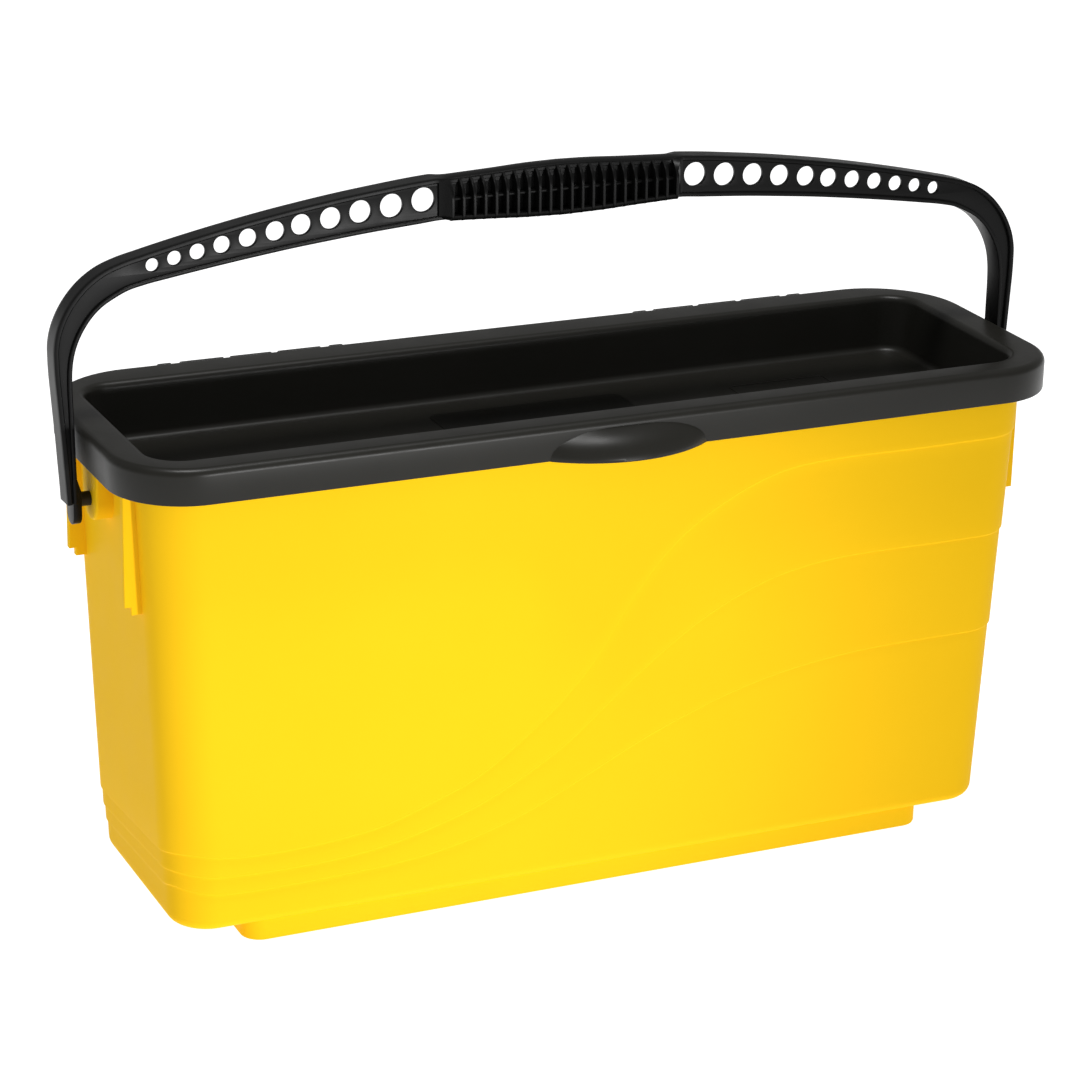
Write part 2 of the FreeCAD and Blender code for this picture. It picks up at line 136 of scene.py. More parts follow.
def rr_loop(x0, x1, y0, y1, rf, rr, z, nx=NX, ny=NY, nc=NC):
    """Rounded rectangle as a loop of points; the same index is the same place on every loop.
    rf rounds the two front corners, rr the two rear ones."""
    rf, rr = max(rf, 0.01), max(rr, 0.01)
    out = []

    def line(ax, ay, bx, by, n):
        for i in range(n):
            out.append((ax + (bx - ax) * i / n, ay + (by - ay) * i / n, z))

    def arc(cx, cy, r, a0):
        for i in range(nc):
            a = a0 + math.pi / 2 * i / nc
            out.append((cx + r * math.cos(a), cy + r * math.sin(a), z))

    line(x0 + rf, y0, x1 - rf, y0, nx)
    arc(x1 - rf, y0 + rf, rf, -math.pi / 2)
    line(x1, y0 + rf, x1, y1 - rr, ny)
    arc(x1 - rr, y1 - rr, rr, 0.0)
    line(x1 - rr, y1, x0 + rr, y1, nx)
    arc(x0 + rr, y1 - rr, rr, math.pi / 2)
    line(x0, y1 - rr, x0, y0 + rf, ny)
    arc(x0 + rf, y0 + rf, rf, math.pi)
    return out


def inset_loop(base, d, z):
    """The loop of base = (x0, x1, y0, y1, rf, rr) moved inwards by d, at height z."""
    x0, x1, y0, y1, rf, rr = base
    return rr_loop(x0 + d, x1 - d, y0 + d, y1 - d, rf - d, rr - d, z)


def rbox(mesh, x0, x1, y0, y1, z0, z1, r, seg=3):
    """Box with rounded edges, as a closed island."""
    bm = bmesh.new()
    bmesh.ops.create_cube(bm, size=1.0)
    for v in bm.verts:
        v.co = Vector((x0 + (v.co.x + 0.5) * (x1 - x0), y0 + (v.co.y + 0.5) * (y1 - y0),
                       z0 + (v.co.z + 0.5) * (z1 - z0)))
    bmesh.ops.bevel(bm, geom=list(bm.edges), offset=r, segments=seg, profile=0.5, affect="EDGES",
                    clamp_overlap=True)
    bm.verts.index_update()
    mesh.add([tuple(v.co) for v in bm.verts], [tuple(v.index for v in f.verts) for f in bm.faces])
    bm.free()


def prism(loops, depth, bevel, res=2):
    """Flat shape from closed 2-D loops (the first outside, the others holes), depth thick and
    centred on its plane, with rounded edges.  Returns a temporary mesh in the XY plane."""
    cu = bpy.data.curves.new("tmp", "CURVE")
    cu.dimensions = "2D"
    cu.fill_mode = "BOTH"
    cu.extrude = depth / 2 - bevel
    cu.bevel_depth = bevel
    cu.bevel_resolution = res
    cu.offset = -bevel
    for lp in loops:
        sp = cu.splines.new("POLY")
        sp.points.add(len(lp) - 1)
        for p, (x, y) in zip(sp.points, lp):
            p.co = (x, y, 0, 1)
        sp.use_cyclic_u = True
    ob = bpy.data.objects.new("tmp", cu)
    bpy.context.scene.collection.objects.link(ob)
    bpy.context.view_layer.update()
    me = bpy.data.meshes.new_from_object(ob.evaluated_get(bpy.context.evaluated_depsgraph_get()))
    bpy.data.objects.remove(ob)
    bpy.data.curves.remove(cu)
    bm = bmesh.new()
    bm.from_mesh(me)
    bmesh.ops.remove_doubles(bm, verts=bm.verts, dist=1e-4)
    bm.to_mesh(me)
    bm.free()
    return me


def boolean(ob, cutter_mesh, op="DIFFERENCE"):
    me = bpy.data.meshes.new("cut")
    me.from_pydata([(x * MM, y * MM, z * MM) for x, y, z in cutter_mesh.v], [], cutter_mesh.f)
    bm = bmesh.new()
    bm.from_mesh(me)
    bmesh.ops.recalc_face_normals(bm, faces=bm.faces)
    bm.to_mesh(me)
    bm.free()
    c = bpy.data.objects.new("cut", me)
    bpy.context.scene.collection.objects.link(c)
    md = ob.modifiers.new("b", "BOOLEAN")
    md.operation = op
    md.solver = "EXACT"
    md.object = c
    bpy.context.view_layer.update()
    new = bpy.data.meshes.new_from_object(ob.evaluated_get(bpy.context.evaluated_depsgraph_get()))
    ob.modifiers.clear()
    ob.data = new
    bpy.data.objects.remove(c)
    return ob


def smooth_curve(pts, step=2.0):
    """Dense points of a smooth curve through pts."""
    out = []
    n = len(pts)
    for i in range(n - 1):
        p0 = pts[max(i - 1, 0)]
        p1, p2 = pts[i], pts[i + 1]
        p3 = pts[min(i + 2, n - 1)]
        length = math.hypot(p2[0] - p1[0], p2[1] - p1[1])
        k = max(1, int(round(length / step)))

        def tangent(a, b, c):
            l1 = math.hypot(b[0] - a[0], b[1] - a[1]) or 1.0
            l2 = math.hypot(c[0] - b[0], c[1] - b[1]) or 1.0
            return ((b[0] - a[0]) / l1 * l2 + (c[0] - b[0]) / l2 * l1) / (l1 + l2), \
                   ((b[1] - a[1]) / l1 * l2 + (c[1] - b[1]) / l2 * l1) / (l1 + l2)
        t1 = tangent(p0, p1, p2) if i > 0 else ((p2[0] - p1[0]) / length, (p2[1] - p1[1]) / length)
        t2 = tangent(p1, p2, p3) if i < n - 2 else ((p2[0] - p1[0]) / length,
                                                     (p2[1] - p1[1]) / length)
        for j in range(k):
            t = j / k
            h00, h10 = 2 * t ** 3 - 3 * t ** 2 + 1, t ** 3 - 2 * t ** 2 + t
            h01, h11 = -2 * t ** 3 + 3 * t ** 2, t ** 3 - t ** 2
            out.append(tuple(h00 * p1[a] + h10 * length * t1[a] + h01 * p2[a] + h11 * length * t2[a]
                             for a in (0, 1)))
    out.append(tuple(pts[-1]))
    return out


def offset_curve(pts, d):
    """Open curve moved sideways by d (to the left of its direction)."""
    out = []
    n = len(pts)
    for i in range(n):
        a, b = pts[max(i - 1, 0)], pts[min(i + 1, n - 1)]
        tx, ty = b[0] - a[0], b[1] - a[1]
        l = math.hypot(tx, ty)
        out.append((pts[i][0] - ty / l * d, pts[i][1] + tx / l * d))
    return out


# ---------------------------------------------------------------------------
# materials
# ---------------------------------------------------------------------------


def srgb(r, g, b):
    def f(c):
        c /= 255.0
        return c / 12.92 if c <= 0.04045 else ((c + 0.055) / 1.055) ** 2.4
    return (f(r), f(g), f(b), 1.0)


def node_mat(name):
    mat = bpy.data.materials.new(name)
    mat.use_nodes = True
    nt = mat.node_tree
    return mat, nt, nt.nodes["Principled BSDF"]


def noise(nt, coord, scale, detail=3.0, rough=0.55):
    n = nt.nodes.new("ShaderNodeTexNoise")
    n.inputs["Scale"].default_value = scale
    n.inputs["Detail"].default_value = detail
    n.inputs["Roughness"].default_value = rough
    nt.links.new(coord, n.inputs["Vector"])
    return n


def ramp(nt, fac, stops):
    r = nt.nodes.new("ShaderNodeValToRGB")
    nt.links.new(fac, r.inputs["Fac"])
    cr = r.color_ramp
    while len(cr.elements) < len(stops):
        cr.elements.new(0.5)
    for e, (p, c) in zip(cr.elements, stops):
        e.position, e.color = p, c
    return r


def mapped(nt, fac, lo, hi):
    mr = nt.nodes.new("ShaderNodeMapRange")
    nt.links.new(fac, mr.inputs["Value"])
    mr.inputs["From Min"].default_value = 0.3
    mr.inputs["From Max"].default_value = 0.7
    mr.inputs["To Min"].default_value = lo
    mr.inputs["To Max"].default_value = hi
    return mr


def plastic(name, dark, light, rough, grain=1400.0, grain_depth=0.00003, spec=0.5, scuff=None,
            wave=0.0):
    """Moulded plastic: colour drifts a little, fine grain, roughness patches, faint scuffs."""
    mat, nt, bsdf = node_mat(name)
    tc = nt.nodes.new("ShaderNodeTexCoord")
    co = tc.outputs["Object"]
    drift = noise(nt, co, 7.0, 4.0)
    col = ramp(nt, drift.outputs["Fac"], [(0.35, dark), (0.65, light)])
    out_col = col.outputs["Color"]
    patch = noise(nt, co, 45.0, 5.0, 0.6)
    rg = mapped(nt, patch.outputs["Fac"], rough - 0.035, rough + 0.04)
    out_rough = rg.outputs["Result"]
    if scuff:
        sc = noise(nt, co, 160.0, 6.0, 0.75)
        mask = ramp(nt, sc.outputs["Fac"], [(0.66, (0, 0, 0, 1)), (0.74, (1, 1, 1, 1))])
        mx = nt.nodes.new("ShaderNodeMix")
        mx.data_type = "RGBA"
        ml = nt.nodes.new("ShaderNodeMath")
        ml.operation = "MULTIPLY"
        ml.inputs[1].default_value = scuff[1]
        nt.links.new(mask.outputs["Color"], ml.inputs[0])
        nt.links.new(ml.outputs["Value"], mx.inputs["Factor"])
        nt.links.new(out_col, mx.inputs["A"])
        mx.inputs["B"].default_value = scuff[0]
        out_col = mx.outputs["Result"]
    nt.links.new(out_col, bsdf.inputs["Base Color"])
    nt.links.new(out_rough, bsdf.inputs["Roughness"])
    gr = noise(nt, co, grain, 2.0)
    bp = nt.nodes.new("ShaderNodeBump")
    bp.inputs["Strength"].default_value = 0.6
    bp.inputs["Distance"].default_value = grain_depth
    nt.links.new(gr.outputs["Fac"], bp.inputs["Height"])
    last = bp
    if wave:
        wv = noise(nt, co, 22.0, 2.0)
        b2 = nt.nodes.new("ShaderNodeBump")
        b2.inputs["Strength"].default_value = 0.5
        b2.inputs["Distance"].default_value = wave
        nt.links.new(wv.outputs["Fac"], b2.inputs["Height"])
        nt.links.new(bp.outputs["Normal"], b2.inputs["Normal"])
        last = b2
    nt.links.new(last.outputs["Normal"], bsdf.inputs["Normal"])
    bsdf.inputs["Specular IOR Level"].default_value = spec
    return mat


def steel(name):
    mat, nt, bsdf = node_mat(name)
    tc = nt.nodes.new("ShaderNodeTexCoord")
    mp = nt.nodes.new("ShaderNodeMapping")
    mp.inputs["Scale"].default_value = (20.0, 900.0, 900.0)
    nt.links.new(tc.outputs["Object"], mp.inputs["Vector"])
    br = noise(nt, mp.outputs["Vector"], 1.0, 4.0)
    col = ramp(nt, br.outputs["Fac"], [(0.3, (0.42, 0.42, 0.43, 1)), (0.7, (0.62, 0.62, 0.63, 1))])
    nt.links.new(col.outputs["Color"], bsdf.inputs["Base Color"])
    bsdf.inputs["Metallic"].default_value = 1.0
    rg = mapped(nt, br.outputs["Fac"], 0.24, 0.4)
    nt.links.new(rg.outputs["Result"], bsdf.inputs["Roughness"])
    bp = nt.nodes.new("ShaderNodeBump")
    bp.inputs["Strength"].default_value = 0.3
    bp.inputs["Distance"].default_value = 0.00003
    nt.links.new(br.outputs["Fac"], bp.inputs["Height"])
    nt.links.new(bp.outputs["Normal"], bsdf.inputs["Normal"])
    return mat


YELLOW = plastic("yellow_moulded", (0.915, 0.540, 0.0095, 1), (0.925, 0.550, 0.0105, 1), 0.42,
                 grain=1500, grain_depth=0.00002, spec=0.01, wave=0.00006)
LID_BLACK = plastic("lid_moulded", (0.0125, 0.0120, 0.0098, 1), (0.014, 0.0135, 0.0112, 1), 0.36,
                    grain=1700, grain_depth=0.00003, spec=0.20)
PANEL_BLACK = plastic("lid_smooth", (0.0065, 0.0063, 0.0050, 1), (0.0075, 0.0073, 0.0060, 1), 0.34,
                      grain=2500, grain_depth=0.00001, spec=0.18)
HANDLE_BLACK = plastic("handle_moulded", (0.0028, 0.0028, 0.0027, 1), (0.0036, 0.0036, 0.0036, 1),
                       0.36, grain=1700, grain_depth=0.00002, spec=0.13)
PIN_BLACK = plastic("pin_moulded", (0.006, 0.006, 0.006, 1), (0.008, 0.008, 0.008, 1), 0.38,
                    spec=0.3)
SIEVE_GREY = plastic("sieve_moulded", (0.42, 0.43, 0.44, 1), (0.47, 0.48, 0.49, 1), 0.45)
RUBBER = plastic("gasket_rubber", (0.012, 0.012, 0.012, 1), (0.018, 0.018, 0.018, 1), 0.75,
                 grain=900, grain_depth=0.00006, spec=0.3)
STEEL = steel("brushed_steel")

# ---------------------------------------------------------------------------
# tub
# ---------------------------------------------------------------------------
T_TOP, T_BOT = 288.8, 13.0
PIVOT_Y, PIVOT_Z = 3.0, 252.0
STEP = 0.95
STRAIGHT_X, STRAIGHT_Y, ARC = 2 * 240.0, 2 * 50.0, math.pi / 2 * 28.0
PERIM = 2 * STRAIGHT_X + 2 * STRAIGHT_Y + 4 * ARC


def place(i):
    """Where index i of a loop lies: side name and how far along it, 0 to 1."""
    order = (("front", NX), ("c_fr", NC), ("right", NY), ("c_rr", NC), ("rear", NX), ("c_rl", NC),
             ("left", NY), ("c_fl", NC))
    for name, n in order:
        if i < n:
            return name, i / n
        i -= n


# each wave line: height above the floor along the front (x, z)
W_FRONT = (
    ((-237, 60), (-225, 58.5), (-200, 57.8), (-170, 59.1), (-141, 62.7), (-111, 72.1),
     (-81, 84.2), (-59, 99.2), (-37, 116.9), (-22, 131.6), (-7, 149.8), (4, 167.0), (15, 183.4),
     (33, 205.1), (52, 221.2), (71, 232.4), (90, 241.1), (109, 246.8), (129, 249.2),
     (149, 249.8), (189, 249.5), (249, 249.8)),
    ((-236, 47.3), (-221, 46.5), (-192, 46.1), (-163, 47.0), (-133, 50.8), (-104, 57.9),
     (-74, 68.2), (-51, 80.0), (-28, 94.0), (-6, 111.8), (17, 131.2), (36, 145.7), (55, 158.5),
     (78, 170.6), (101, 179.4), (125, 184.9), (149, 187.3), (173, 187.9), (206, 187.7),
     (248, 187.7)),
    ((-236, 36.3), (-221, 35.4), (-192, 35.4), (-163, 35.9), (-133, 37.2), (-103, 40.7),
     (-73, 47.8), (-43, 58.2), (-20, 68.9), (3, 80.2), (26, 91.0), (49, 100.4), (73, 108.8),
     (96, 115.3), (120, 120.2), (145, 123.6), (169, 125.5), (194, 126.2), (244, 126.4)),
)
# heights along the left end: rear, front, and the high point in the front left corner
W_LEFT = ((52.0, 59.4, 62.2, 0.6), (41.0, 48.4, 49.6, 0.35), (31.0, 37.2, 39.6, 0.3))


def lerp_pts(pts, x):
    if x <= pts[0][0]:
        return pts[0][1]
    for (x0, z0), (x1, z1) in zip(pts, pts[1:]):
        if x <= x1:
            return z0 + (z1 - z0) * (x - x0) / (x1 - x0)
    return pts[-1][1]


def soft(pts):
    return smooth_curve([(float(a), float(b)) for a, b in pts], 3.0)


W_DENSE = [soft(w) for w in W_FRONT]
W_CORNER = [smooth_curve([(0.0, front), (tp, peak), (1.0, w[0][1])], 0.05)
            for (rear, front, peak, tp), w in zip(W_LEFT, W_FRONT)]


def wave_z(k, side, t):
    w = W_DENSE[k]
    zf, zr = w[0][1], w[-1][1]
    rear, front, peak, tp = W_LEFT[k]
    if side in ("front", "rear"):
        z = 150.0
        for _ in range(6):
            a = wall_half(z)[0] - 28.0
            x = (-a + 2 * a * t) if side == "front" else (a - 2 * a * t)
            z = lerp_pts(w, x)
        if side == "rear":
            z += (rear - 1.0 - zf) * t * t * (3 - 2 * t)
        return z
    if side in ("c_fr", "right", "c_rr"):
        return zr
    if side == "c_rl":
        return rear - 1.0 + t
    if side == "left":
        return rear + (front - rear) * t
    return lerp_pts(W_CORNER[k], t)


def wall_half(z):
    """Half sizes of the wall above every step."""
    return 274.1 - 0.0435 * (275 - z), 80.9 - 0.0107 * (275 - z)


def build_tub():
    mesh = Mesh()
    n = 2 * NX + 2 * NY + 4 * NC
    cols = [place(i) for i in range(n)]
    waves = [[wave_z(k, s, t) for s, t in cols] for k in range(3)]
    R = 7.0
    # rows of the outer wall for one column: (height, number of steps above, inset)
    prof = [(-0.75, 1.0), (-0.5, 0.96), (-0.25, 0.80), (0.0, 0.5), (0.25, 0.20), (0.5, 0.04),
            (0.75, 0.0)]

    def column(i):
        w1, w2, w3 = waves[0][i], waves[1][i], waves[2][i]
        rows = []
        lo = T_BOT + R
        for q in range(7):
            rows.append((lo + (w3 - 0.75 - lo) * q / 7.0, 3.0))
        rows += [(w3 + dz, 2.0 + f) for dz, f in prof]
        for q in range(1, 8):
            rows.append((w3 + 0.75 + (w2 - w3 - 1.5) * q / 8.0, 2.0))
        rows += [(w2 + dz, 1.0 + f) for dz, f in prof]
        for q in range(1, 8):
            rows.append((w2 + 0.75 + (w1 - w2 - 1.5) * q / 8.0, 1.0))
        rows += [(w1 + dz, f) for dz, f in prof]
        top = 283.2
        for q in range(1, 11):
            rows.append((w1 + 0.75 + (top - w1 - 0.75) * q / 10.0, 0.0))
        return rows

    rows = [column(i) for i in range(n)]
    nr = len(rows[0])
    loops = []

    def corner_r(z):
        return 27.0 + 2.0 * (z - T_BOT) / (T_TOP - T_BOT)

    def pt(i, z, d):
        hx, hy = wall_half(z)
        r = corner_r(z)
        key = place_cached[i]
        side, t = key
        a, b = hx - r, hy - r
        rr = r - d
        if side == "front":
            return (-a + 2 * a * t, -(b + rr), z)
        if side == "rear":
            return (a - 2 * a * t, b + rr, z)
        if side == "right":
            return (a + rr, -b + 2 * b * t, z)
        if side == "left":
            return (-(a + rr), b - 2 * b * t, z)
        base = {"c_fr": (a, -b, -90), "c_rr": (a, b, 0), "c_rl": (-a, b, 90),
                "c_fl": (-a, -b, 180)}[side]
        ang = math.radians(base[2] + 90 * t)
        return (base[0] + rr * math.cos(ang), base[1] + rr * math.sin(ang), z)

    place_cached = cols
    # underside: from the middle out to the bottom edge, then the edge's quarter-round
    zb = T_BOT + R
    d0 = 3.0 * STEP
    loops.append([pt(i, T_BOT, d0 + R + 12.0) for i in range(n)])
    for q in range(0, 9):
        a = math.pi / 2 * q / 8
        d = d0 + R * (1 - math.sin(a))
        z = zb - R * math.cos(a)
        lp = []
        for i in range(n):
            x, y, _ = pt(i, zb, d)
            lp.append((x, y, z))
        loops.append(lp)
    for k in range(1, nr):
        loops.append([pt(i, rows[i][k][0], STEP * rows[i][k][1]) for i in range(n)])
    # bead, rim, inner wall, inner floor
    for z, d in ((283.5, -0.4), (283.7, -1.6), (284.2, -2.2), (285.0, -2.4), (287.4, -2.4),
                 (288.3, -2.1), (288.7, -1.4), (288.8, -0.6), (288.8, 1.6), (288.6, 2.3),
                 (288.0, 2.6)):
        loops.append([pt(i, z, d) for i in range(n)])
    for q in range(1, 16):
        z = 288.0 - (288.0 - 23.0) * q / 15.0
        d_in = 2.6 + 2.9 * (q / 15.0)
        loops.append([pt(i, z, d_in) for i in range(n)])
    for q in range(1, 7):
        a = math.pi / 2 * q / 6
        loops.append([pt(i, 23.0 - 6.8 * math.sin(a), 5.5 + 6.8 * (1 - math.cos(a)))
                      for i in range(n)])
    mesh.tube(loops)

    # foot ring
    base = (-219.0, 219.0, -70.0, 70.0, 12.0, 12.0)
    fl = [inset_loop(base, 0.0, 16.0), inset_loop(base, 0.0, 1.5), inset_loop(base, 0.4, 0.45),
          inset_loop(base, 1.4, 0.0), inset_loop(base, 2.4, 0.0), inset_loop(base, 3.0, 0.5),
          inset_loop(base, 3.2, 1.4), inset_loop(base, 3.2, 16.0)]
    k = len(fl[0])
    verts = [p for l in fl for p in l]
    faces = []
    for a in range(len(fl)):
        b = (a + 1) % len(fl)
        for i in range(k):
            j = (i + 1) % k
            faces.append((a * k + i, a * k + j, b * k + j, b * k + i))
    mesh.add(verts, faces)
    for x in (-110.0, 0.0, 110.0):
        rbox(mesh, x - 1.5, x + 1.5, -69.0, 69.0, 0.0, 15.0, 0.5)
    # rails and pivot bosses on the end walls
    def mid_wall(z):
        return wall_half(z)[0] - 1.7

    rail = [(mid_wall(200.4), 200.4), (276.8, 200.4), (276.8, 205.2), (280.7, 205.2),
            (280.7, 285.4), (mid_wall(285.4), 285.4)]
    for s in (-1, 1):
        for y in (-47.3, 52.9):
            me = prism([rail], 5.0, 0.55, 2)
            mesh.mesh_data(me, lambda p, s=s, y=y: (s * p[0], y + p[2], p[1]))
            bpy.data.meshes.remove(me)
        prof2 = []
        for q in range(33):
            a = math.pi + math.pi * q / 32
            prof2.append((PIVOT_Y + 12.5 * math.cos(a), PIVOT_Z + 12.5 * math.sin(a)))
        prof2 += [(PIVOT_Y + 12.5, 285.0), (PIVOT_Y - 12.5, 285.0)]
        me = prism([prof2], 11.4, 1.6, 3)

        def boss(p, s=s):
            x = 277.1 + p[2]
            if p[2] < 0:
                x = 277.1 + (mid_wall(p[1]) - 277.1) * (-p[2] / 5.7)
            return s * x, p[0], p[1]
        mesh.mesh_data(me, boss)
        bpy.data.meshes.remove(me)
        xc = s * 153.0
        rbox(mesh, xc - 52, xc + 52, 70, 85, 238, 270, 1.0)
    return to_object("tub_shell", mesh.v, mesh.f, YELLOW, "tub", ("tub",), 38)


tub = build_tub()

# ---------------------------------------------------------------------------
# lid
# ---------------------------------------------------------------------------
LID = (-289.55, 289.85, -93.3, 93.3, 44.0, 55.5)
TRAY_TOP = (-269.0, 266.0, -73.5, 67.5, 20.0, 18.0)
TRAY_BOT = (-265.4, 262.5, -70.0, 66.0, 17.5, 15.5)
L_TOP, L_BOT, T_FLOOR = 295.6, 275.0, 261.0
TAB_X = 0.9


def mix_base(a, b, t):
    return tuple(p + (q - p) * t for p, q in zip(a, b))


def build_lid():
    mesh = Mesh()
    loops = []
    rf = 4.2
    loops.append(inset_loop(TRAY_BOT, rf + 8.0, T_FLOOR))
    loops.append(inset_loop(TRAY_BOT, rf, T_FLOOR))
    for q in range(1, 9):
        a = math.pi / 2 * q / 8
        loops.append(inset_loop(TRAY_BOT, rf * (1 - math.sin(a)), T_FLOOR + rf * (1 - math.cos(a))))
    z_a, z_b = T_FLOOR + rf, L_TOP - 4.0
    for q in range(1, 7):
        t = q / 6
        loops.append(inset_loop(mix_base(TRAY_BOT, TRAY_TOP, t), 0.0, z_a + (z_b - z_a) * t))
    for q in range(1, 9):
        a = math.pi / 2 * q / 8
        loops.append(inset_loop(TRAY_TOP, -4.0 * (1 - math.cos(a)), z_b + 4.0 * math.sin(a)))
    ro = 4.5
    for q in range(0, 10):
        a = math.pi / 2 * q / 9
        loops.append(inset_loop(LID, ro * (1 - math.sin(a)), L_TOP - ro * (1 - math.cos(a))))
    loops.append(inset_loop(LID, 0.0, L_BOT + 1.0))
    loops.append(inset_loop(LID, 0.25, L_BOT + 0.3))
    loops.append(inset_loop(LID, 0.9, L_BOT))
    loops.append(inset_loop(LID, 2.1, L_BOT))
    loops.append(inset_loop(LID, 2.8, L_BOT + 0.7))
    loops.append(inset_loop(LID, 2.8, 290.6))
    loops.append(inset_loop(LID, 3.4, 292.0))
    loops.append(inset_loop(LID, 4.8, 292.6))
    out_top, out_bot = (tuple(v + 2.8 * k for v, k in zip(b, (-1, 1, -1, 1, 1, 1)))
                        for b in (TRAY_TOP, TRAY_BOT))
    loops.append(inset_loop(out_top, -1.5, 292.6))
    loops.append(inset_loop(out_top, -0.2, 291.2))
    for q in range(1, 6):
        t = q / 5
        loops.append(inset_loop(mix_base(out_top, out_bot, t), 0.0, 291.0 - (291.0 - 263.2) * t))
    for q in range(1, 7):
        a = math.pi / 2 * q / 6
        loops.append(inset_loop(out_bot, 5.0 * (1 - math.cos(a)), 263.2 - 5.0 * math.sin(a)))
    mesh.tube(loops)
    ob = to_object("lid_shell", mesh.v, mesh.f, LID_BLACK, "lid", ("lid",), 38)

    # openings in the rear skirt for the bracket's knuckles
    cut = Mesh()
    for s in (-1, 1):
        xc = s * 153.0
        for k in (-1, 1):
            xa, xb = sorted((xc + k * 12.4, xc + k * 49.5))
            rbox(cut, xa, xb, 85.3, 104.0, 270.0, 292.4, 0.8, 2)
    boolean(ob, cut)
    # notch beside each outer small knuckle
    cut = Mesh()
    for s in (-1, 1):
        xa, xb = sorted((s * (153.0 + 43.4), s * (153.0 + 49.2)))
        rbox(cut, xa, xb, 91.7, 104.0, 268.0, 300.0, 0.6, 2)
    boolean(ob, cut)

    more = Mesh()
    for s in (-1, 1):
        xc = s * 153.0
        for xa, xb in ((xc - 57.0, xc - 49.5), (xc - 12.4, xc + 12.4), (xc + 49.5, xc + 57.0)):
            circle = [(98.5 + 6.0 * math.cos(a), 287.0 + 6.0 * math.sin(a))
                      for a in [math.radians(-120 + 210 * q / 40) for q in range(41)]]
            prof = circle + [(91.5, 293.0), (91.5, 281.8)]
            hole = [(98.5 + 2.06 * math.cos(2 * math.pi * q / 28),
                     287.0 + 2.06 * math.sin(2 * math.pi * q / 28)) for q in range(28)]
            me = prism([prof, hole], xb - xa, 0.35, 2)
            mid = (xa + xb) / 2
            more.mesh_data(me, lambda p: (mid + p[2], p[0], p[1]))
            bpy.data.meshes.remove(me)
    # finger tab
    sect = ((275.0, 50.6, 15.6), (275.25, 51.0, 16.1), (275.9, 51.3, 16.4), (277.5, 51.1, 16.0),
            (279.0, 50.5, 15.3), (281.0, 49.2, 14.2), (283.0, 47.0, 12.8), (285.0, 43.8, 10.9),
            (287.0, 39.0, 8.5), (288.6, 33.5, 5.9), (289.8, 27.5, 3.5), (290.6, 21.0, 1.6),
            (291.0, 12.0, 0.3))
    nseg = 56
    rows = []
    for z, h, o in sect:
        h *= 0.943
        rad = (h * h + o * o) / (2 * o)
        half = math.asin(min(1.0, h / rad))
        row = [(TAB_X - h, -91.6, z)]
        for q in range(nseg + 1):
            a = -half + 2 * half * q / nseg
            row.append((TAB_X + rad * math.sin(a), -93.27 - (rad * math.cos(a) - (rad - o)), z))
        row.append((TAB_X + h, -91.6, z))
        rows.append(row)
    more.tube(rows)
    add_to(ob, more)
    return ob


def add_to(ob, mesh):
    """Joins closed islands to an existing object's mesh."""
    me = bpy.data.meshes.new("add")
    me.from_pydata([(x * MM, y * MM, z * MM) for x, y, z in mesh.v], [], mesh.f)
    me.validate()
    bm = bmesh.new()
    bm.from_mesh(me)
    bmesh.ops.recalc_face_normals(bm, faces=bm.faces)
    bm.to_mesh(me)
    bm.clear()
    bm.from_mesh(ob.data)
    bm.from_mesh(me)
    for f in bm.faces:
        f.material_index = 0
    bm.to_mesh(ob.data)
    bm.free()
    bpy.data.meshes.remove(me)
    shade(ob, 38)


lid = build_lid()


def rrect2(x0, x1, y0, y1, r, n=8):
    out = []
    for cx, cy, a0 in ((x1 - r, y0 + r, -90), (x1 - r, y1 - r, 0), (x0 + r, y1 - r, 90),
                       (x0 + r, y0 + r, 180)):
        for q in range(n + 1):
            a = math.radians(a0 + 90 * q / n)
            out.append((cx + r * math.cos(a), cy + r * math.sin(a)))
    return out


def build_floor_panels():
    mesh = Mesh()
    me = prism([rrect2(-64.0, 59.0, -45.0, 45.0, 6.0)], 0.8, 0.2, 2)
    mesh.mesh_data(me, lambda p: (p[0], p[1], T_FLOOR + p[2]))
    bpy.data.meshes.remove(me)
    ob = to_object("tray_panel", mesh.v, mesh.f, PANEL_BLACK, "lid", None, 30)
    mesh = Mesh()
    me = prism([rrect2(127.0, 192.0, -12.0, 33.0, 4.0), rrect2(128.4, 190.6, -10.6, 31.6, 3.0)],
               0.9, 0.25, 2)
    mesh.mesh_data(me, lambda p: (p[0], p[1], T_FLOOR + p[2]))
    bpy.data.meshes.remove(me)
    ob2 = to_object("tray_frame", mesh.v, mesh.f, LID_BLACK, "lid", None, 30)
    return ob, ob2


build_floor_panels()

